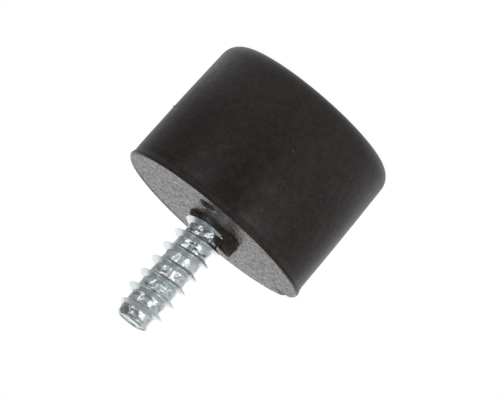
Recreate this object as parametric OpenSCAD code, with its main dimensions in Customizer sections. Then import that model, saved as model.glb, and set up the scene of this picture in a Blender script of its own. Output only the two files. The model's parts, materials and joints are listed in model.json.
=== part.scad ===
// Screw-in rubber foot for small bench and desk equipment.
// A slightly tapered rubber drum is moulded round the head of a blunt-ended tapping screw.
// The foot stands on its sole at Z = 0, and the threaded end of the screw points up along +Z.
// All sizes are in millimetres.

/* [Rubber body] */
// Height from the sole to the seating face
body_height = 12.5; // [11:0.1:30]
// Diameter of the side wall where it reaches the seating face
face_diameter = 17.25; // [14:0.05:40]
// Draft of the side wall, in degrees
wall_draft = 1.4; // [0:0.1:5]
// How far the side wall bows outward at mid height
wall_bow = 0.04; // [0:0.01:0.5]
// Radius round the edge of the sole
sole_radius = 1.4; // [0.4:0.1:3]

/* [Rim bead] */
// How far the rounded bead stands proud of the side wall
bead_proud = 0.16; // [0:0.01:0.3]
// Radius of the bead's rounded edge
bead_radius = 0.32; // [0.3:0.01:0.6]

/* [Flash collar] */
// How far the collar of rubber round the screw reaches past the thread crests
collar_width = 0.38; // [0.36:0.02:1.2]
// How far the collar lies off the screw's axis
collar_offset = 0.3; // [0:0.05:0.3]
// Direction, about the screw, towards which the collar lies and its high part stands
collar_direction = 180; // [0:5:355]
// Height of the high part above the seating face
collar_high = 1.05; // [0.7:0.05:1.5]
// Height of the torn low part above the seating face
collar_low = 0.4; // [0.15:0.05:0.6]
// Angle that the high part spans
collar_span = 106; // [60:2:180]

/* [Screw] */
// Length that stands out of the seating face
stud_length = 10.2; // [7:0.1:14]
// Length that is held in the rubber, from under the head to the seating face
held_length = 5.7; // [4.5:0.1:7]
// Diameter of the core between the threads
core_diameter = 2.9; // [2.8:0.05:3.4]
// Diameter over the thread crests
thread_diameter = 4.05; // [3.7:0.05:5]
// Distance from one crest to the next, measured along the screw
thread_pitch = 1.411; // [1.2:0.001:2]
// Angle between each flank of the thread and the plane square to the screw, in degrees
flank_angle = 25; // [15:1:30]
// Width of the flat along the thread crest
crest_width = 0.05; // [0.02:0.01:0.12]
// Direction, about the screw, in which a crest crosses the seating face
crest_direction = 180; // [0:5:355]

/* [Screw tip] */
// Diameter of the flat end face
tip_diameter = 1.95; // [1:0.05:2.1]
// Height of the chamfer round the end face
tip_chamfer = 0.8; // [0.3:0.1:1.5]
// Diameter of the core where the chamfer begins
tip_core_diameter = 2.6; // [2.2:0.05:2.7]
// Length over which the core narrows towards the chamfer
core_taper_length = 2.4; // [0.5:0.1:4]
// Length over which the thread grows from nothing to full height
tip_lead = 2.6; // [1:0.1:4]

/* [Screw head] */
// Diameter of the head
head_diameter = 8; // [6:0.1:9]
// Thickness of the head
head_height = 2.8; // [1.5:0.1:3]
// Radius round the outer edge of the head
head_radius = 1.1; // [0.3:0.1:1.4]
// Plain length of core between the head and the first thread
plain_length = 1.2; // [0.8:0.1:3]

/* [Hidden] */
$fn = 96;

FULL_TURN = 360;
ARC_STEPS = 12;
TURN_STEPS = 32;
WALL_STEPS = 8;
FAN_STEPS = 4;

// How deep the foot of the thread reaches into the core, so that the two are one solid
thread_root_depth = 0.2;

face_r = face_diameter / 2;
core_r = core_diameter / 2;
collar_r = thread_diameter / 2 + collar_width;
thread_full_height = thread_diameter / 2 - core_r + thread_root_depth - crest_width;
tip_r = tip_diameter / 2;
head_r = head_diameter / 2;

tip_z = body_height + stud_length;
chamfer_z = tip_z - tip_chamfer;
core_taper_z = chamfer_z - core_taper_length;
under_head_z = body_height - held_length;
head_bottom_z = under_head_z - head_height;

// Heights and radii of the core, from under the head to the end face
CORE_PROFILE = [
    [under_head_z, core_r],
    [core_taper_z, core_r],
    [chamfer_z, tip_core_diameter / 2],
    [tip_z, tip_r]
];

// Radius of the drafted side wall at height z
function wall_r(z) = face_r - (body_height - z) * tan(wall_draft);

// Points along an arc about centre, from one direction to another
function arc(centre, radius, from, to) =
    [for (i = [0:ARC_STEPS]) let (a = from + (to - from) * i / ARC_STEPS) centre + radius * [cos(a), sin(a)]];

// Points between the two ends of the side wall, which bows outward like a flat parabola
function wall(from, to) =
    [for (i = [1:WALL_STEPS - 1]) let (t = i / WALL_STEPS, z = from + (to - from) * t)
        [wall_r(z) + wall_bow * 4 * t * (1 - t), z]];

// Half section of the drum: sole, rounded sole edge, drafted wall, rim bead, seating face
function drum_section() =
    let (
        sole_edge = [wall_r(sole_radius) - sole_radius / cos(wall_draft), sole_radius],
        sole_arc = arc(sole_edge, sole_radius, -90, -wall_draft),
        bead_centre = [face_r + bead_proud - bead_radius, body_height - bead_radius],
        bead_arc = arc(bead_centre, bead_radius, -acos(1 - bead_proud / bead_radius), 90)
    )
    concat([[0, 0]], sole_arc, wall(sole_arc[ARC_STEPS][1], bead_arc[0][1]), bead_arc, [[0, body_height]]);

// Half section of the head, with its flat bearing side up
function head_section() =
    concat(
        [[0, head_bottom_z]],
        arc([head_r - head_radius, head_bottom_z + head_radius], head_radius, -90, 0),
        [[head_r, under_head_z], [0, under_head_z]]
    );

// Half section of the core: straight, then tapered, then chamfered
function core_section() =
    concat([[0, under_head_z]], [for (p = CORE_PROFILE) [p[1], p[0]]], [[0, tip_z]]);

// Share of its full height that the thread has at height z: it rises out of the core at both of its ends
function thread_growth(z) = min(1, (thread_end_z - z) / tip_lead, (z - thread_start_z) / thread_pitch);

// Cross-section of the thread at angle a along the helix, foot to foot over the crest
function thread_ring(a) =
    let (
        z = thread_start_z + thread_pitch * a / FULL_TURN,
        foot_r = lookup(z, CORE_PROFILE) - thread_root_depth,
        crest_r = foot_r + crest_width + thread_full_height * thread_growth(z),
        half_crest = crest_width / 2,
        half_foot = half_crest + (crest_r - foot_r) * tan(flank_angle),
        direction = start_direction + a
    )
    [for (p = [[foot_r, -half_foot], [crest_r, -half_crest], [crest_r, half_crest], [foot_r, half_foot]])
        [p[0] * cos(direction), p[0] * sin(direction), z + p[1]]];

// The thread starts a plain length above the head, and its foot ends just below the end face
thread_start_z = under_head_z + plain_length;
thread_end_z = tip_z - crest_width - thread_root_depth * tan(flank_angle);
thread_steps = floor((thread_end_z - thread_start_z) / thread_pitch * TURN_STEPS);
start_direction = crest_direction - (body_height - thread_start_z) / thread_pitch * FULL_TURN;

module thread() {
    rings = [for (i = [0:thread_steps]) thread_ring(i * FULL_TURN / TURN_STEPS)];
    side = len(rings[0]);
    points = [for (ring = rings) each ring];
    last = thread_steps * side;
    skin = [for (i = [0:thread_steps - 1], j = [0:side - 1])
        let (a = i * side + j, b = i * side + (j + 1) % side)
        [a, b, b + side, a + side]];
    ends = [[for (j = [side - 1:-1:0]) j], [for (j = [0:side - 1]) last + j]];
    polyhedron(points, concat(skin, ends), convexity = 10);
}

module screw_solid() {
    rotate_extrude() polygon(head_section());
    hull() rotate_extrude($fn = TURN_STEPS) polygon(core_section());
    thread();
}

module screw() {
    color("silver") screw_solid();
}

// Everything but the high part of the collar, as a fan about the collar's axis
module torn_away() {
    reach = 2 * collar_r;
    fan = [for (i = [0:FAN_STEPS])
        let (a = collar_span / 2 + (FULL_TURN - collar_span) * i / FAN_STEPS) reach * [cos(a), sin(a)]];
    linear_extrude(collar_high) polygon(concat([[0, 0]], fan));
}

// Flash: rubber that crept up round the screw in the mould and was torn down to a low ring on one side
module collar() {
    rotate(collar_direction) translate([collar_offset, 0, body_height]) difference() {
        translate([0, 0, -collar_r]) cylinder(r = collar_r, h = collar_r + collar_high);
        translate([0, 0, collar_low]) torn_away();
    }
}

// The rubber is moulded round the screw, so its hollow is the shape of the screw itself
module rubber_body() {
    color("#2b2928") difference() {
        union() {
            rotate_extrude() polygon(drum_section());
            collar();
        }
        screw_solid();
    }
}

rubber_body();
screw();
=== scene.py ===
"""Screw-in rubber foot: a black rubber drum moulded round a zinc-plated tapping screw.

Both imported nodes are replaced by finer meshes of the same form, each of them one closed skin."""

import json
import math

import bmesh
import bpy
from mathutils import Matrix, Vector, noise


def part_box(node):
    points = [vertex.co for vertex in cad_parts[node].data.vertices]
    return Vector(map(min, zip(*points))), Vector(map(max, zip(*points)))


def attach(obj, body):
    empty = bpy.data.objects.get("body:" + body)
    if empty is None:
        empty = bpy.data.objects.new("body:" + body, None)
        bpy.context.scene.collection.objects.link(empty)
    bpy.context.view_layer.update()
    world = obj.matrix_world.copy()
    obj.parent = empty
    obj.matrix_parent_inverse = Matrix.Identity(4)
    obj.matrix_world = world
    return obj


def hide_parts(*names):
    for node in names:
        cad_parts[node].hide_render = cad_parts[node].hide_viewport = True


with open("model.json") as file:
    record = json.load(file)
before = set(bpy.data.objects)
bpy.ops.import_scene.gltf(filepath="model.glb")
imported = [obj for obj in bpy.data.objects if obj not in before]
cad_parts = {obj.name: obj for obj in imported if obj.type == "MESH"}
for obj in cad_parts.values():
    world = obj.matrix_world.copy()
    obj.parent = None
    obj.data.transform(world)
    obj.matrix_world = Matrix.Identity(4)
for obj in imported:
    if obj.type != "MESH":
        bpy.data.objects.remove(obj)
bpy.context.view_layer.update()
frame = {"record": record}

MM = 0.001
TAU = math.tau
MERGE_DISTANCE = 1e-7

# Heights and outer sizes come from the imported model, in mm.
MOUNTS = {mount["name"]: mount for mount in frame["record"]["mounts"]}
FACE_Z = MOUNTS["threaded_stud"]["pos_m"][2] / MM
CREST_R = MOUNTS["threaded_stud"]["dims"]["r_mm"]
TIP_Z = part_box("screw")[1][2] / MM
HEAD_BOTTOM_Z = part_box("screw")[0][2] / MM
HEAD_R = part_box("screw")[1][0] / MM
DRUM_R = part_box("rubber_body")[1][0] / MM

# The sizes below are in mm too, and directions about the screw are measured from +X, in radians.
# A layer of roughness is its height, the size of its lumps, and a seed that shifts its pattern.

# Sole and side wall.
FACE_R = 8.625
WALL_DRAFT = math.radians(1.4)
WALL_BOW = 0.04
WALL_RIPPLE = (0.006, 1.6, 7.7)
SOLE_RADIUS = 1.4

# Rim bead: the wall swells out to it, it lies a little off the drum's axis, and its edge is sharpest
# in front. BOX_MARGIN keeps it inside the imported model's box.
BEAD_RADIUS = 0.3
BEAD_PROUD = 0.11
BEAD_FOOT_Z = FACE_Z - BEAD_RADIUS
SWELL_FROM_Z = BEAD_FOOT_Z - 0.5
SWELL_FULL_Z = BEAD_FOOT_Z + 0.1
BEAD_SHIFT = (-0.04, 0.064)
BEAD_RIPPLE = (0.012, 0.7, 3.1)
SHIFT_FROM_Z = FACE_Z - 1.1
SHIFT_FULL_Z = FACE_Z - 0.4
BEAD_SHARPENING = 0.6
BOX_MARGIN = 0.015

# Notch: a step down in the rim at the left, which runs a little way into the seating face.
NOTCH_DIRECTION = math.radians(161)
NOTCH_SPREAD = math.radians(6.5)
NOTCH_DEPTH = 0.14
NOTCH_BOTTOM_Z = FACE_Z - 0.5
NOTCH_FROM_R = FACE_R - 1.8
NOTCH_FULL_R = FACE_R - 0.2

# Seating face: it starts just below the rim, and it is crowned, warped and gritty.
FACE_SINK = 0.04
FACE_CROWN = 0.1
FACE_WARP = 0.0007
FACE_GRIT = (0.032, 0.27, 5.9)
FACE_LUMPS = (0.0128, 0.6, 2.6)

# Pit: an oval hollow in front of the screw. Its edge is uneven by a share of its size.
PIT_CENTRE = (1.27, -6.1)
PIT_HALF_SIZE = (0.82, 1.15)
PIT_DEPTH = 0.45
PIT_STEEPNESS = 1.5
PIT_EDGE = (0.12, 0.5, 8.8)

# Pip: a small torn lump on the wall at the right, drawn out sideways, with rows of its own in the mesh.
PIP_DIRECTION = math.radians(-7)
PIP_Z = 7.33
PIP_HALF_HEIGHT = 0.13
PIP_STRETCH = 7
PIP_PROUD = 0.1
PIP_CLEARANCE = 0.3
PIP_ROW_GAP = 0.05
PIP_ROWS_EACH_WAY = 5

# Screw. The two profiles give radii by the distance from the tip.
PITCH = 1.411
ROOT_R = 1.43
CREST_WIDTH = 0.024
FLANK = math.radians(22)
HALF_FOOT = CREST_WIDTH / 2 + (CREST_R - ROOT_R) * math.tan(FLANK)
ROOT_FILLET = 0.12
CREST_DIRECTION = math.radians(180)
CORE_PROFILE = ((0.0, 1.12), (0.1, 1.25), (0.3, 1.32), (0.9, 1.36), (3.0, ROOT_R))
CREST_PROFILE = ((0.0, 1.45), (0.48, 1.58), (1.07, 1.66), (1.74, 1.93), (2.35, CREST_R))
SHARP_ANGLE = math.radians(50)

# Dents that the rolling left in the metal. They fade away inside the rubber, and the crest has only a
# share of them.
DENTS = (0.055, 0.42, 1.7)
DENT_SQUASH = 1.1
FINE_DENTS = (0.012, 0.22, 6.3)
DENTS_FROM_Z = FACE_Z - 0.5
DENTS_FULL_Z = FACE_Z + 1.5
CREST_DENT_SHARE = 0.25

# Cropped end: it rises towards +X, and left of BEVEL_X it falls away more steeply. The face's rings are
# a share of the edge's radius and a depth below it.
END_SLOPE = 0.07
END_HIGH_X = 1.14
BEVEL_SLOPE = 0.3
BEVEL_X = -0.9
END_RINGS = ((0.95, 0.0), (0.9, 0.09), (0.75, 0.11), (0.5, 0.1), (0.25, 0.09), (0.0, 0.09))
END_GRAIN = (0.05, 0.4, 2.9)

# Flat beside the end: it turns about the screw and leans outward as it runs down from the tip.
FLAT_DIRECTION = math.radians(-50)
FLAT_TWIST = 0.27
FLAT_DISTANCE = 1.18
FLAT_TILT = 0.15
FLAT_LENGTH = 1.2
FLAT_DENT_SHARE = 0.3
FLAT_LIMIT = math.cos(math.radians(60))

# Hidden head, and the plain length of core above it.
HEAD_HEIGHT = 2.8
HEAD_RADIUS = 1.1
PLAIN_LENGTH = 1.2
UNDER_HEAD_Z = HEAD_BOTTOM_Z + HEAD_HEIGHT
THREAD_START_Z = UNDER_HEAD_Z + PLAIN_LENGTH

# Torn collar of rubber that crept up round the screw: it stands off centre, it is high on one side, and
# in front its edge leans towards the screw. Inside CENTRED_R the face's rings shift towards its centre.
# Its roughness is taken from a circle of noise of radius TORN_SAMPLE_R.
COLLAR_R = 2.4
COLLAR_X = -0.3
COLLAR_FOOT = 0.06
COLLAR_LIP = 0.14
CENTRED_R = 5
LEANING_DIRECTION = math.radians(292)
LEANING_FULL = 0.12
LEANING_SPREAD = 0.35
LEAN = 0.33
TORN_TOP = (0.05, 0.5, 2.2)
TORN_WALL = (0.035, 0.6, 4.4)
TORN_LEANING = (0.05, 0.3, 5.1)
TORN_SAMPLE_R = 2
# Height above the seating face, by the direction in degrees.
COLLAR_HEIGHTS = (
    (0, 0.3), (100, 0.32), (125, 0.72), (160, 0.94), (180, 1.03), (235, 1.03), (241, 0.42), (300, 0.38),
    (340, 0.3), (360, 0.3))
# Up the outside, over the lip and down inside to the screw: how far in from the collar's wall, the share
# of its height, and a drop below that.
COLLAR_PROFILE = (
    (-COLLAR_FOOT, 0, 0), (-COLLAR_FOOT * 0.4, 0.06, 0), (-0.01, 0.2, 0), (0, 0.45, 0),
    (0, 1, COLLAR_LIP), (0.02, 1, COLLAR_LIP * 0.5), (0.06, 1, COLLAR_LIP * 0.15), (0.14, 1, 0),
    (0.28, 0.98, 0), (0.38, 0.6, 0), (0.6, 0.4, 0), (COLLAR_R - ROOT_R, 0.3, 0))

# How finely the meshes are divided. The rows of the wall crowd together towards the rim, the hollow has
# a ring part of the way down, and the fillet's steps are shares of its width.
DRUM_SEGMENTS = 480
SOLE_STEPS = 8
SOLE_ARC_STEPS = 16
WALL_STEPS = 56
WALL_CROWDING = 0.7
BEAD_ARC_STEPS = 12
FACE_STEPS = 62
HOLLOW_RING_Z = UNDER_HEAD_Z + 3
HEAD_ARC_STEPS = 8
SCREW_SEGMENTS = 160
FLANK_STEPS = 5
FILLET_STEPS = (0.6, 1.4)
GROOVE_STEPS = 7


def smooth(low, high, value):
    """0 below low, 1 above high, and an S curve in between."""
    t = min(1.0, max(0.0, (value - low) / (high - low)))
    return t * t * (3 - 2 * t)


def lookup(table, key):
    """Straight-line value between the rows (key, value) of a table."""
    if key <= table[0][0]:
        return table[0][1]
    for (k0, v0), (k1, v1) in zip(table, table[1:]):
        if key <= k1:
            return v0 + (v1 - v0) * (key - k0) / (k1 - k0)
    return table[-1][1]


def turned(angle, centre):
    """Angle from a direction, between minus half a turn and half a turn."""
    return (angle - centre + math.pi) % TAU - math.pi


def rough(x, y, z, layer):
    """Smooth noise at a point, up to about plus or minus the layer's height."""
    height, lump, seed = layer
    return height * noise.noise(Vector((x / lump + seed, y / lump - seed, z / lump + 0.5 * seed)))


def arc(centre, radius, start, end, steps):
    """Points (r, z) along an arc; start and end are angles in radians."""
    return [
        (centre[0] + radius * math.cos(a), centre[1] + radius * math.sin(a))
        for a in (start + (end - start) * i / steps for i in range(steps + 1))
    ]


def head_section():
    """Points (r, z) of the screw's head, from the edge of its flat bearing side down to its bottom."""
    centre = (HEAD_R - HEAD_RADIUS, HEAD_BOTTOM_Z + HEAD_RADIUS)
    return [(HEAD_R, UNDER_HEAD_Z)] + arc(centre, HEAD_RADIUS, 0, -math.pi / 2, HEAD_ARC_STEPS)


def new_object(name, mesh_data):
    """Link a mesh to the scene, shaded smooth."""
    mesh = bpy.data.meshes.new(name)
    mesh_data.to_mesh(mesh)
    mesh_data.free()
    mesh.polygons.foreach_set("use_smooth", [True] * len(mesh.polygons))
    piece = bpy.data.objects.new(name, mesh)
    bpy.context.scene.collection.objects.link(piece)
    return piece


def skin_rings(data, rings):
    """Faces between neighbouring rings of vertices; a ring of one vertex is a pole."""
    for low, high in zip(rings, rings[1:]):
        count = max(len(low), len(high))
        for i in range(count):
            j = (i + 1) % count
            corners = (low[i % len(low)], low[j % len(low)], high[j % len(high)], high[i % len(high)])
            data.faces.new(tuple(dict.fromkeys(corners)))


# ---------------------------------------------------------------- rubber drum

def wall_r(z):
    """Radius of the drafted side wall."""
    return FACE_R - (FACE_Z - z) * math.tan(WALL_DRAFT)


def wall_heights(low, high):
    """Heights of the rows up the wall, with the pip's own rows in place of those near it."""
    heights = [low + (high - low) * (i / WALL_STEPS) ** WALL_CROWDING for i in range(1, WALL_STEPS)]
    heights = [z for z in heights if abs(z - PIP_Z) > PIP_CLEARANCE]
    heights += [PIP_Z + PIP_ROW_GAP * k for k in range(-PIP_ROWS_EACH_WAY, PIP_ROWS_EACH_WAY + 1)]
    return sorted(heights)


def outside_section():
    """Points (r, z) up the outside: sole, rounded sole edge, wall, and bead up to its inner edge."""
    sole_edge = (wall_r(SOLE_RADIUS) - SOLE_RADIUS / math.cos(WALL_DRAFT), SOLE_RADIUS)
    sole = [(sole_edge[0] * k / SOLE_STEPS, 0.0) for k in range(1, SOLE_STEPS)]
    sole_arc = arc(sole_edge, SOLE_RADIUS, -math.pi / 2, -WALL_DRAFT, SOLE_ARC_STEPS)
    bead_centre = (FACE_R + BEAD_PROUD - BEAD_RADIUS, BEAD_FOOT_Z)
    bead_arc = arc(bead_centre, BEAD_RADIUS, 0, math.pi / 2, BEAD_ARC_STEPS)
    low, high = sole_arc[-1][1], bead_arc[0][1]
    wall = []
    for z in wall_heights(low, high):
        t = (z - low) / (high - low)
        swell = BEAD_PROUD * smooth(SWELL_FROM_Z, SWELL_FULL_Z, z)
        wall.append((wall_r(z) + WALL_BOW * 4 * t * (1 - t) + swell, z))
    return sole + sole_arc + wall + bead_arc


def notch_depth(angle):
    """Depth of the notch where it is deepest, by the direction."""
    return NOTCH_DEPTH * (1 - smooth(0, 1, abs(turned(angle, NOTCH_DIRECTION)) / NOTCH_SPREAD))


def outside_point(r, z, angle):
    """A point of the sole, wall or bead, with the bead's uneven width, the notch and the pip."""
    x, y = math.cos(angle), math.sin(angle)
    shift = BEAD_SHIFT[0] * x + BEAD_SHIFT[1] * y - rough(x * r, y * r, 0, BEAD_RIPPLE)
    r = min(r + shift * smooth(SHIFT_FROM_Z, SHIFT_FULL_Z, z), DRUM_R - BOX_MARGIN)
    if z > BEAD_FOOT_Z:
        sharp = 1 - BEAD_SHARPENING * max(0, -y)
        r = FACE_R + BEAD_PROUD - (FACE_R + BEAD_PROUD - r) * sharp
        z = FACE_Z - (FACE_Z - z) * sharp
    if z > SOLE_RADIUS:
        r += rough(x * r, y * r, z, WALL_RIPPLE)
    z -= notch_depth(angle) * smooth(NOTCH_BOTTOM_Z, FACE_Z, z)
    away = math.hypot(turned(angle, PIP_DIRECTION) * r / PIP_STRETCH, z - PIP_Z)
    r += PIP_PROUD * (1 - smooth(0, PIP_HALF_HEIGHT, away))
    return r * x, r * y, z


def pit_share(x, y):
    """Depth of the pit, as a share of its full depth."""
    away = math.hypot((x - PIT_CENTRE[0]) / PIT_HALF_SIZE[0], (y - PIT_CENTRE[1]) / PIT_HALF_SIZE[1])
    away += rough(x, y, 0, PIT_EDGE)
    return max(0.0, 1 - away * away) ** PIT_STEEPNESS


def face_height(r):
    """Height of the crowned seating face, before its warp and roughness."""
    return FACE_Z - FACE_SINK + FACE_CROWN * (1 - (r / FACE_R) ** 2)


def face_point(r, angle):
    """A point of the seating face, with the pit and the notch."""
    x = COLLAR_X * (1 - smooth(COLLAR_R, CENTRED_R, r)) + r * math.cos(angle)
    y = r * math.sin(angle)
    z = face_height(r) - FACE_WARP * x * y
    z += rough(x, y, 0, FACE_GRIT) + rough(x, y, 0, FACE_LUMPS)
    z -= PIT_DEPTH * pit_share(x, y)
    z -= notch_depth(angle) * smooth(NOTCH_FROM_R, NOTCH_FULL_R, r)
    return x, y, z


def torn(angle, z, layer):
    """Roughness of the torn rubber, by the direction about the screw."""
    return rough(TORN_SAMPLE_R * math.cos(angle), TORN_SAMPLE_R * math.sin(angle), z, layer)


def collar_height(angle):
    """Height of the torn collar above the seating face, by the direction about the screw."""
    return lookup(COLLAR_HEIGHTS, math.degrees(angle)) + torn(angle, 0, TORN_TOP)


def collar_point(inset, share, drop, angle):
    """A point of the collar: inset from its wall, at a share of its height less a drop."""
    leaning = 1 - smooth(LEANING_FULL, LEANING_SPREAD, abs(turned(angle, LEANING_DIRECTION)))
    r = COLLAR_R - inset - LEAN * share * leaning
    r += torn(angle, share, TORN_WALL) + leaning * torn(angle, share, TORN_LEANING)
    top = FACE_Z + collar_height(angle)
    z = face_height(COLLAR_R) * (1 - share) + top * share - drop
    return COLLAR_X * min(1, r / COLLAR_R) + r * math.cos(angle), r * math.sin(angle), z


def make_drum():
    """One closed skin: sole, wall, bead, seating face, collar, and the hollow that the screw fills."""
    angles = [TAU * i / DRUM_SEGMENTS for i in range(DRUM_SEGMENTS)]
    outside = outside_section()
    face_edge, collar_edge = outside[-1][0], COLLAR_R + COLLAR_FOOT
    face = [face_edge + (collar_edge - face_edge) * k / FACE_STEPS for k in range(1, FACE_STEPS)]
    hollow = [(ROOT_R, HOLLOW_RING_Z), (ROOT_R, UNDER_HEAD_Z)] + head_section()
    loops = [[(0, 0, 0)]]
    loops += [[outside_point(r, z, a) for a in angles] for r, z in outside]
    loops += [[face_point(r, a) for a in angles] for r in face]
    loops += [[collar_point(*row, a) for a in angles] for row in COLLAR_PROFILE]
    loops += [[(r * math.cos(a), r * math.sin(a), z) for a in angles] for r, z in hollow]
    loops += [[(0, 0, HEAD_BOTTOM_Z)]]
    data = bmesh.new()
    skin_rings(data, [[data.verts.new([v * MM for v in point]) for point in loop] for loop in loops])
    bmesh.ops.recalc_face_normals(data, faces=data.faces)
    return new_object("drum", data)


# ---------------------------------------------------------------- screw

def thread_share(offset):
    """Height of the ridge as a share of the full one, at a distance from its crest along the screw.

    The flank is straight, and its foot runs into the core along a parabola."""
    offset = abs(offset)
    if offset <= CREST_WIDTH / 2:
        return 1.0
    slope = 1 - (offset - CREST_WIDTH / 2) / (HALF_FOOT - CREST_WIDTH / 2)
    blend = ROOT_FILLET / (CREST_R - ROOT_R)
    if slope >= blend:
        return slope
    reach = slope + blend
    return reach * reach / (4 * blend) if reach > 0 else 0.0


def dent_height(x, y, z):
    """Height of the metal's dented surface at a point of the core."""
    dents = rough(x, y, DENT_SQUASH * z, DENTS) + rough(x, y, z, FINE_DENTS)
    return smooth(DENTS_FROM_Z, DENTS_FULL_Z, z) * dents


def screw_r(angle, z, offset):
    """Radius of the screw: core, thread, dents, and the flat near the end."""
    from_tip = TIP_Z - z
    core = lookup(CORE_PROFILE, from_tip)
    crest = lookup(CREST_PROFILE, from_tip)
    crest = core + (crest - core) * max(0.0, min(1.0, (z - THREAD_START_Z) / PITCH))
    dent = dent_height(core * math.cos(angle), core * math.sin(angle), z)
    core += dent
    across = math.cos(turned(angle, FLAT_DIRECTION + FLAT_TWIST * from_tip))
    if from_tip < FLAT_LENGTH and across > FLAT_LIMIT:
        core = min(core, (FLAT_DISTANCE + FLAT_TILT * from_tip + FLAT_DENT_SHARE * dent) / across)
    return core + (min(crest + CREST_DENT_SHARE * dent, CREST_R) - core) * thread_share(offset)


def thread_offsets():
    """Where the rows of one turn run: distances from its crest along the screw, groove to groove."""
    flank_width = HALF_FOOT - CREST_WIDTH / 2
    half = [CREST_WIDTH / 2 + flank_width * k / FLANK_STEPS for k in range(FLANK_STEPS + 1)]
    half += [HALF_FOOT + ROOT_FILLET * math.tan(FLANK) * k for k in FILLET_STEPS]
    fillet_edge = half[-1]
    groove = PITCH / 2 - fillet_edge
    half += [fillet_edge + groove * k / GROOVE_STEPS for k in range(1, GROOVE_STEPS)]
    return [-h for h in reversed(half)] + half + [PITCH / 2]


def grid_point(turn, offset, angle):
    """A point of the screw's skin, in metres, at an offset from the crest of a turn of the thread."""
    z = FACE_Z + PITCH * (turn + (angle - CREST_DIRECTION) / TAU) + offset
    r = screw_r(angle, z, offset)
    return r * math.cos(angle) * MM, r * math.sin(angle) * MM, z * MM


def add_helical_skin(data):
    """A helical grid with turns to spare at both ends; its rows follow the thread, its columns the screw."""
    first = math.floor((UNDER_HEAD_Z - FACE_Z) / PITCH) - 2
    last = math.ceil((TIP_Z - FACE_Z) / PITCH) + 1
    angles = [TAU * i / SCREW_SEGMENTS for i in range(SCREW_SEGMENTS + 1)]
    rows = [
        [data.verts.new(grid_point(turn, offset, angle)) for angle in angles]
        for turn in range(first, last + 1) for offset in thread_offsets()
    ]
    for low, high in zip(rows, rows[1:]):
        for i in range(SCREW_SEGMENTS):
            data.faces.new((low[i], low[i + 1], high[i + 1], high[i]))
    bmesh.ops.remove_doubles(data, verts=data.verts, dist=MERGE_DISTANCE)


def trim(data, point, normal):
    """Cut off what lies beyond a plane, and leave the cut open."""
    everything = data.verts[:] + data.edges[:] + data.faces[:]
    bmesh.ops.bisect_plane(
        data, geom=everything, plane_co=point * MM, plane_no=normal.normalized(), clear_outer=True)


def ends_of(edges):
    """The vertices of some edges, each of them once."""
    return list({vertex for edge in edges for vertex in edge.verts})


def extend(data, edges, moved):
    """Grow a ring of faces from an open edge; moved gives each new vertex its place, in mm."""
    ring = bmesh.ops.extrude_edge_only(data, edges=edges)["geom"]
    edges = [item for item in ring if isinstance(item, bmesh.types.BMEdge)]
    for vertex in ends_of(edges):
        vertex.co = Vector(moved(vertex.co / MM)) * MM
    return edges


def close(data, edges):
    """Merge an edge that has shrunk to a point."""
    bmesh.ops.remove_doubles(data, verts=ends_of(edges), dist=MERGE_DISTANCE)


def end_z(x):
    """Height of the end's edge: nearly level, and bevelled on the -X side."""
    level = TIP_Z - END_SLOPE * (END_HIGH_X - x)
    return level + (BEVEL_SLOPE - END_SLOPE) * min(0, x - BEVEL_X)


def add_end(data):
    """The end face, from the open upper edge inward: it is sunk inside the thin burr round it."""
    edges = [edge for edge in data.edges if edge.is_boundary and edge.verts[0].co.z > FACE_Z * MM]
    last_share = 1.0
    for share, sunk in END_RINGS:
        def moved(co, shrink=share / last_share, sunk=sunk):
            x, y = shrink * co.x, shrink * co.y
            grain = rough(x, y, 0, END_GRAIN) if sunk else 0
            return x, y, end_z(x) - sunk + grain
        edges = extend(data, edges, moved)
        last_share = share
    close(data, edges)


def add_head(data):
    """The hidden pan head, joined to the open foot of the core."""
    edges = [edge for edge in data.edges if edge.is_boundary]
    for r, z in head_section() + [(0.0, HEAD_BOTTOM_Z)]:
        def moved(co, r=r, z=z):
            a = math.atan2(co.y, co.x)
            return r * math.cos(a), r * math.sin(a), z
        edges = extend(data, edges, moved)
    close(data, edges)


def make_screw():
    """One closed skin: the thread and core, trimmed to length and closed by the end and the head."""
    data = bmesh.new()
    add_helical_skin(data)
    trim(data, Vector((END_HIGH_X, 0, TIP_Z)), Vector((-END_SLOPE, 0, 1)))
    trim(data, Vector((BEVEL_X, 0, end_z(BEVEL_X))), Vector((-BEVEL_SLOPE, 0, 1)))
    add_end(data)
    trim(data, Vector((0, 0, UNDER_HEAD_Z)), Vector((0, 0, -1)))
    add_head(data)
    bmesh.ops.recalc_face_normals(data, faces=data.faces)
    piece = new_object("tapping_screw", data)
    piece.data.set_sharp_from_angle(angle=SHARP_ANGLE)
    return piece


# ---------------------------------------------------------------- materials

# The stops of the colour ramps are values of a noise with a linear colour for each. A range of roughness
# goes with the low and the high values of a noise.
WALL_STOPS = ((0.42, (0.0120, 0.0078, 0.0063)), (0.58, (0.0330, 0.0240, 0.0208)))
WALL_ROUGHNESS = (0.38, 0.33)
FACE_STOPS = ((0.4, (0.018, 0.0115, 0.009)), (0.62, (0.097, 0.0695, 0.0555)))
FACE_ROUGHNESS = (0.13, 0.46)
TORN_STOPS = ((0.3, (0.055, 0.044, 0.038)), (0.7, (0.105, 0.086, 0.075)))
TORN_ROUGHNESS = 0.75
ZINC_STOPS = (
    (0.32, (0.78, 0.85, 0.92)), (0.46, (0.86, 0.90, 0.93)), (0.58, (0.80, 0.89, 0.86)),
    (0.7, (0.90, 0.88, 0.97)))
ZINC_ROUGHNESS = (0.25, 0.36)

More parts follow.
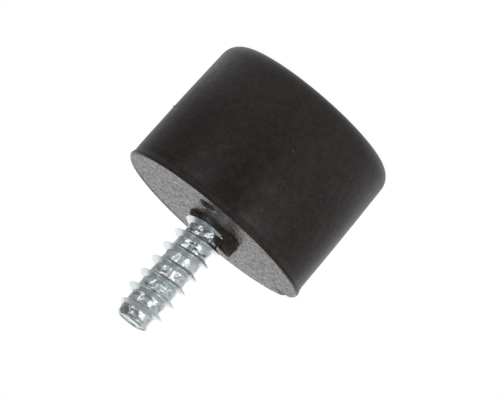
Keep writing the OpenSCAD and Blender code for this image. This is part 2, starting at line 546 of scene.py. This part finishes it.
# Specks of dust and faint smudges on the front of the wall: x, z, radius, strength.
WALL_SPOTS = (
    (-2.15, 10.27, 0.13, 0.3), (-4.94, 9.32, 0.13, 0.25), (-6.2, 8.8, 0.12, 0.25),
    (-4.94, 6.16, 0.14, 0.35), (-5.5, 5.03, 0.12, 0.25), (-6.77, 5.13, 0.12, 0.25),
    (-0.96, 5.13, 0.14, 0.35), (-6.14, 2.59, 0.12, 0.25), (-6.29, 1.41, 0.12, 0.25),
    (7.33, 4.73, 0.14, 0.3), (-2.15, 3.22, 0.12, 0.25),
    (-1.83, 11.4, 1.1, 0.1), (-1.5, 8.75, 1.2, 0.08))
# Pale scuff beside the pip, drawn out along Y.
SCUFF_CENTRE = (8.3, -1.95, 7.56)
SCUFF_RADIUS = 0.18
SCUFF_SCALE = (1, 0.2, 1)
SPECK_COLOUR = (0.23, 0.21, 0.2)

# Pale spot on the front of the collar, partly dusty and partly painted light: it stands in for the lit
# seating face seen there, and it brightens the thread's shade. A strength above 1 keeps its middle full.
DUST_AND_SHEEN_CENTRE = (0.55, -2.3, 12.75)
DUST_AND_SHEEN_RADIUS = 0.7
DUST_AND_SHEEN_STRENGTH = 1.6
DUST_AND_SHEEN_COLOUR = (0.34, 0.31, 0.285)


def new_material(name, **values):
    """A Principled material and its node tree; each value goes straight onto its socket."""
    material = bpy.data.materials.new(name)
    material.use_nodes = True
    shader = material.node_tree.nodes["Principled BSDF"]
    for socket, value in values.items():
        shader.inputs[socket.replace("_", " ")].default_value = value
    return material, material.node_tree, shader


def add_noise(tree, lump, detail=2.0, roughness=0.5, stretch=(1, 1, 1)):
    """Noise over the object's own coordinates; lump is the rough size of its lumps, in mm."""
    coords = tree.nodes.new("ShaderNodeTexCoord")
    mapping = tree.nodes.new("ShaderNodeMapping")
    mapping.inputs["Scale"].default_value = [s / (lump * MM) for s in stretch]
    node = tree.nodes.new("ShaderNodeTexNoise")
    node.inputs["Scale"].default_value = 1.0
    node.inputs["Detail"].default_value = detail
    node.inputs["Roughness"].default_value = roughness
    tree.links.new(coords.outputs["Object"], mapping.inputs["Vector"])
    tree.links.new(mapping.outputs["Vector"], node.inputs["Vector"])
    return node.outputs["Fac"]


def add_ramp(tree, source, stops):
    """A colour ramp through the stops (position, colour)."""
    ramp = tree.nodes.new("ShaderNodeValToRGB")
    for _ in stops[2:]:
        ramp.color_ramp.elements.new(0.5)
    for element, (position, colour) in zip(ramp.color_ramp.elements, stops):
        element.position = position
        element.color = (*colour, 1)
    tree.links.new(source, ramp.inputs["Fac"])
    return ramp.outputs["Color"]


def add_range(tree, source, low, high, from_low=0.3, from_high=0.7):
    """The source, remapped to low..high; by default from the values that most of a noise has."""
    node = tree.nodes.new("ShaderNodeMapRange")
    node.inputs["From Min"].default_value = from_low
    node.inputs["From Max"].default_value = from_high
    node.inputs["To Min"].default_value = low
    node.inputs["To Max"].default_value = high
    tree.links.new(source, node.inputs["Value"])
    return node.outputs["Result"]


def add_math(tree, operation, first, second):
    """Arithmetic on two outputs, or on an output and a number."""
    node = tree.nodes.new("ShaderNodeMath")
    node.operation = operation
    tree.links.new(first, node.inputs[0])
    if isinstance(second, (int, float)):
        node.inputs[1].default_value = second
    else:
        tree.links.new(second, node.inputs[1])
    return node.outputs[0]


def add_mix(tree, share, plain, colour):
    """The plain colour, with another colour laid over it by a share."""
    mix = tree.nodes.new("ShaderNodeMix")
    mix.data_type = "RGBA"
    mix.inputs["B"].default_value = (*colour, 1)
    tree.links.new(share, mix.inputs["Factor"])
    tree.links.new(plain, mix.inputs["A"])
    return mix.outputs["Result"]


def add_bump(tree, shader, layers):
    """Bumps on top of each other; each layer is (height output, depth in mm)."""
    normal = None
    for height, depth in layers:
        bump = tree.nodes.new("ShaderNodeBump")
        bump.inputs["Strength"].default_value = 1.0
        bump.inputs["Distance"].default_value = depth * MM
        tree.links.new(height, bump.inputs["Height"])
        if normal:
            tree.links.new(normal, bump.inputs["Normal"])
        normal = bump.outputs["Normal"]
    tree.links.new(normal, shader.inputs["Normal"])


def add_spot(tree, centre, radius, strength, scale=(1, 1, 1)):
    """A mark about a point, in mm, that fades outward; a scale below 1 draws it out along an axis."""
    coords = tree.nodes.new("ShaderNodeTexCoord")
    offset = tree.nodes.new("ShaderNodeVectorMath")
    offset.operation = "MULTIPLY_ADD"
    offset.inputs[1].default_value = scale
    offset.inputs[2].default_value = Vector(-c * s * MM for c, s in zip(centre, scale))
    tree.links.new(coords.outputs["Object"], offset.inputs[0])
    away = tree.nodes.new("ShaderNodeVectorMath")
    away.operation = "LENGTH"
    tree.links.new(offset.outputs["Vector"], away.inputs[0])
    return add_range(tree, away.outputs["Value"], strength, 0, 0, radius * MM)


def add_wall_marks(tree):
    """The scuff, specks and smudges on the wall, as one mask."""
    result = add_spot(tree, SCUFF_CENTRE, SCUFF_RADIUS, 1, SCUFF_SCALE)
    for x, z, radius, strength in WALL_SPOTS:
        spot = add_spot(tree, (x, -math.sqrt(wall_r(z) ** 2 - x * x), z), radius, strength)
        result = add_math(tree, "MAXIMUM", spot, result)
    return result


def rubber_wall():
    """Black moulded rubber: faint clouds of bloom, a fine grain, and a few pale marks."""
    material, tree, shader = new_material("rubber_wall", IOR=1.41)
    clouds = add_noise(tree, lump=0.7, detail=5, roughness=0.88)
    swells = add_noise(tree, lump=1.1, detail=3)
    grain = add_noise(tree, lump=0.2, detail=3, roughness=0.6)
    colour = add_mix(tree, add_wall_marks(tree), add_ramp(tree, clouds, WALL_STOPS), SPECK_COLOUR)
    tree.links.new(colour, shader.inputs["Base Color"])
    tree.links.new(add_range(tree, clouds, *WALL_ROUGHNESS), shader.inputs["Roughness"])
    add_bump(tree, shader, ((swells, 0.03), (grain, 0.02)))
    return material


def rubber_face():
    """The dusty, gritty seating face."""
    material, tree, shader = new_material("rubber_face", IOR=1.62)
    blotches = add_noise(tree, lump=0.32, detail=3, roughness=0.6, stretch=(1, 0.5, 1))
    grain = add_noise(tree, lump=0.12, detail=3, roughness=0.6)
    tree.links.new(add_ramp(tree, blotches, FACE_STOPS), shader.inputs["Base Color"])
    tree.links.new(add_range(tree, blotches, *FACE_ROUGHNESS), shader.inputs["Roughness"])
    add_bump(tree, shader, ((grain, 0.005),))
    return material


def rubber_torn():
    """The matt, torn rubber of the collar and the pit; the collar has a pale spot in front, partly dusty and
    partly painted light.
    """
    material, tree, shader = new_material("rubber_torn", Roughness=TORN_ROUGHNESS, IOR=1.35)
    mottling = add_noise(tree, lump=0.5, detail=3)
    grain = add_noise(tree, lump=0.25, detail=3, roughness=0.6)
    blotches = add_noise(tree, lump=0.3, detail=3, roughness=0.6)
    blotches = add_range(tree, blotches, 0, 1, from_low=0.35, from_high=0.6)
    # The pale spot: dusty blotches, and painted light that lifts the collar's front out of the thread's
    # shade.
    dust_and_sheen_mask = add_math(tree, "MULTIPLY", add_spot(tree, DUST_AND_SHEEN_CENTRE, DUST_AND_SHEEN_RADIUS, DUST_AND_SHEEN_STRENGTH), blotches)
    colour = add_mix(tree, dust_and_sheen_mask, add_ramp(tree, mottling, TORN_STOPS), DUST_AND_SHEEN_COLOUR)
    tree.links.new(colour, shader.inputs["Base Color"])
    add_bump(tree, shader, ((grain, 0.03),))
    return material


def zinc():
    """Bright zinc plate with a cold, uneven tint."""
    material, tree, shader = new_material("zinc_plate", Metallic=1.0)
    tint = add_ramp(tree, add_noise(tree, lump=0.5), ZINC_STOPS)
    tree.links.new(tint, shader.inputs["Base Color"])
    roughness = add_range(tree, add_noise(tree, lump=0.3), *ZINC_ROUGHNESS)
    tree.links.new(roughness, shader.inputs["Roughness"])
    return material


# The drum's material slots, and the limits that part them.
WALL_SLOT, FACE_SLOT, TORN_SLOT = range(3)
TORN_PIT_SHARE = 0.2
FACE_LOWEST_Z = FACE_Z - PIT_DEPTH - 0.1
FACE_UPRIGHT = 0.6


def drum_slot(polygon):
    """The material slot for a face of the drum's skin."""
    middle = polygon.center / MM
    on_collar = math.hypot(middle.x - COLLAR_X, middle.y) < COLLAR_R + COLLAR_FOOT
    if on_collar or pit_share(middle.x, middle.y) > TORN_PIT_SHARE:
        return TORN_SLOT if middle.z > UNDER_HEAD_Z else WALL_SLOT
    on_face = middle.z > FACE_LOWEST_Z and polygon.normal.z > FACE_UPRIGHT
    return FACE_SLOT if on_face else WALL_SLOT


# ---------------------------------------------------------------- camera

# The photograph is 500 px wide and 400 px high. The seating face's centre stands at FACE_PX in it, and
# the screw's tip points down to the left, so the camera is rolled.
IMAGE_SIZE = (500, 400)
FACE_PX = (211.87, 225.97)
PX_PER_MM = 12.55
ELEVATION = math.radians(9.67)
ROLL = math.radians(139.17)
DISTANCE = 550 * MM
NEAR_CLIP = 10 * MM
SENSOR = 36


def make_camera():
    """The photograph's view: from the front, a little above the seating face, and rolled."""
    right = Vector((1, 0, 0))
    upward = Vector((0, math.sin(ELEVATION), math.cos(ELEVATION)))
    forward = Vector((0, math.cos(ELEVATION), -math.sin(ELEVATION)))
    camera_x = math.cos(ROLL) * right - math.sin(ROLL) * upward
    camera_y = math.sin(ROLL) * right + math.cos(ROLL) * upward
    px_per_m = PX_PER_MM / MM
    aside = (FACE_PX[0] - IMAGE_SIZE[0] / 2) / px_per_m
    above = (IMAGE_SIZE[1] / 2 - FACE_PX[1]) / px_per_m
    place = Vector((0, 0, FACE_Z * MM)) - forward * DISTANCE - camera_x * aside - camera_y * above
    camera = bpy.data.cameras.new("camera")
    camera.sensor_fit = "HORIZONTAL"
    camera.sensor_width = SENSOR
    camera.lens = SENSOR * DISTANCE * px_per_m / IMAGE_SIZE[0]
    camera.clip_start = NEAR_CLIP
    holder = bpy.data.objects.new("camera", camera)
    matrix = Matrix.Identity(4)
    for column, axis in enumerate((camera_x, camera_y, -forward)):
        matrix.col[column][:3] = axis
    matrix.col[3][:3] = place
    holder.matrix_world = matrix
    bpy.context.scene.collection.objects.link(holder)
    bpy.context.scene.camera = holder


# ---------------------------------------------------------------- stage

# The floor has a plain grey for the light that it sends up. Seen straight or in a mirror, it is a glow
# with a little grey in it, so that it keeps the shadow.
FLOOR_R = 25
FLOOR_SEGMENTS = 128
FLOOR_GREY = (0.6, 0.6, 0.6, 1)
FLOOR_SHADE = (0.2, 0.2, 0.2, 1)
FLOOR_GLOW = 0.96
FLOOR_MIRROR_SHARE = 0.78
WHITE = (1, 1, 1, 1)

# The room, as the part sees it: grey, paler below and above, with light from the left and a white
# backdrop behind. A blend is the range of the cosine over which one level turns into the other.
ROOM_LEVEL = 0.1
TABLE_LEVEL = 0.36
TABLE_BLEND = (-0.04, 0.12)
CEILING_LEVEL = 0.34
CEILING_BLEND = (0.2, 0.8)
SIDE_LEVEL = 0.24
SIDE_AZIMUTH = -85
# The backdrop's two lobes: azimuth, elevation, the cosine at which it starts, and the power of its rise.
BACKDROP_LOBES = ((-172, 4, 0.3, 3.3), (165, 20, 0.75, 1.3))

# Two low, wide softboxes in front, about level with the seating face: name, azimuth and width.
LAMPS = (("key", -30, 34 * MM), ("side", 45, 26 * MM))
LAMP_ELEVATION = -2.2
LAMP_DISTANCE = 45 * MM
LAMP_HEIGHT = 8.5 * MM
LAMP_LEVEL = 2


def direction(azimuth, elevation):
    """Unit vector; azimuth 0 is the camera's side and positive towards +X, in degrees."""
    a, e = math.radians(azimuth), math.radians(elevation)
    return Vector((math.cos(e) * math.sin(a), -math.cos(e) * math.cos(a), math.sin(e)))


def seen_rays(tree, mirror_share):
    """1 for rays from the camera or through glass, and a share of that for mirror rays."""
    light_path = tree.nodes.new("ShaderNodeLightPath")
    mirror = add_math(tree, "MULTIPLY", light_path.outputs["Is Glossy Ray"], mirror_share)
    straight = add_math(
        tree, "MAXIMUM", light_path.outputs["Is Camera Ray"], light_path.outputs["Is Transmission Ray"])
    return add_math(tree, "MAXIMUM", straight, mirror)


def link_output(tree, output, plain, seen, mirror_share):
    """The plain shader, with the other one in its place for the rays that see it."""
    mix = tree.nodes.new("ShaderNodeMixShader")
    tree.links.new(seen_rays(tree, mirror_share), mix.inputs[0])
    tree.links.new(plain.outputs[0], mix.inputs[1])
    tree.links.new(seen.outputs[0], mix.inputs[2])
    tree.links.new(mix.outputs[0], output.inputs[0])


def make_floor():
    """A pale disc: nearly white where the camera or a mirror sees it, and it still takes the shadow."""
    data = bmesh.new()
    bmesh.ops.create_circle(data, cap_ends=True, segments=FLOOR_SEGMENTS, radius=FLOOR_R * MM)
    floor = new_object("floor", data)
    material = bpy.data.materials.new("floor")
    material.use_nodes = True
    tree = material.node_tree
    tree.nodes.clear()
    output = tree.nodes.new("ShaderNodeOutputMaterial")
    plain = tree.nodes.new("ShaderNodeBsdfDiffuse")
    plain.inputs["Color"].default_value = FLOOR_GREY
    shade = tree.nodes.new("ShaderNodeBsdfDiffuse")
    shade.inputs["Color"].default_value = FLOOR_SHADE
    glow = tree.nodes.new("ShaderNodeEmission")
    glow.inputs["Strength"].default_value = FLOOR_GLOW
    seen = tree.nodes.new("ShaderNodeAddShader")
    tree.links.new(shade.outputs[0], seen.inputs[0])
    tree.links.new(glow.outputs[0], seen.inputs[1])
    link_output(tree, output, plain, seen, FLOOR_MIRROR_SHARE)
    floor.data.materials.append(material)


def add_facing(tree, azimuth, elevation):
    """Cosine of the angle between a ray of the world and a direction."""
    coords = tree.nodes.new("ShaderNodeTexCoord")
    node = tree.nodes.new("ShaderNodeVectorMath")
    node.operation = "DOT_PRODUCT"
    node.inputs[1].default_value = direction(azimuth, elevation)
    tree.links.new(coords.outputs["Generated"], node.inputs[0])
    return node.outputs["Value"]


def add_backdrop(tree):
    """The backdrop's brightness: 1 in the middle of a lobe, falling to 0 round it."""
    lobes = []
    for azimuth, elevation, start, power in BACKDROP_LOBES:
        share = add_range(tree, add_facing(tree, azimuth, elevation), 0, 1, start, 1)
        lobes.append(add_math(tree, "POWER", share, power))
    return add_math(tree, "MAXIMUM", *lobes)


def make_world():
    """White to the camera; to the part, a room whose brightness depends on the direction."""
    world = bpy.data.worlds.new("studio")
    bpy.context.scene.world = world
    world.use_nodes = True
    tree = world.node_tree
    tree.nodes.clear()
    output = tree.nodes.new("ShaderNodeOutputWorld")
    room = tree.nodes.new("ShaderNodeBackground")
    room.inputs["Color"].default_value = WHITE
    seen = tree.nodes.new("ShaderNodeBackground")
    seen.inputs["Color"].default_value = WHITE
    table = add_range(tree, add_facing(tree, 0, -90), ROOM_LEVEL, TABLE_LEVEL, *TABLE_BLEND)
    ceiling = add_range(tree, add_facing(tree, 0, 90), ROOM_LEVEL, CEILING_LEVEL, *CEILING_BLEND)
    side = add_range(tree, add_facing(tree, SIDE_AZIMUTH, 0), 0, SIDE_LEVEL, 0, 1)
    backdrop = add_backdrop(tree)
    level = add_math(tree, "MAXIMUM", add_math(tree, "MAXIMUM", table, ceiling), backdrop)
    tree.links.new(add_math(tree, "ADD", level, side), room.inputs["Strength"])
    link_output(tree, output, room, seen, backdrop)


def make_lamp(name, azimuth, width):
    """A softbox aimed at the seating face's centre; LAMP_LEVEL is how bright it looks, 1 for white."""
    lamp = bpy.data.lights.new(name, "AREA")
    lamp.energy = LAMP_LEVEL * math.pi * width * LAMP_HEIGHT
    lamp.shape = "RECTANGLE"
    lamp.size = width
    lamp.size_y = LAMP_HEIGHT
    aim = direction(azimuth, LAMP_ELEVATION)
    holder = bpy.data.objects.new(name, lamp)
    holder.location = Vector((0, 0, FACE_Z * MM)) + aim * LAMP_DISTANCE
    holder.rotation_euler = (-aim).to_track_quat("-Z", "Y").to_euler()
    bpy.context.scene.collection.objects.link(holder)


# ---------------------------------------------------------------- scene

make_camera()

drum = make_drum()
for material in (rubber_wall(), rubber_face(), rubber_torn()):
    drum.data.materials.append(material)
for polygon in drum.data.polygons:
    polygon.material_index = drum_slot(polygon)
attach(drum, "root")
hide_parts("rubber_body")

screw = make_screw()
screw.data.materials.append(zinc())
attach(screw, "root")
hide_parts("screw")

make_floor()
make_world()
for name, azimuth, width in LAMPS:
    make_lamp(name, azimuth, width)
bpy.context.scene.view_settings.view_transform = "Standard"
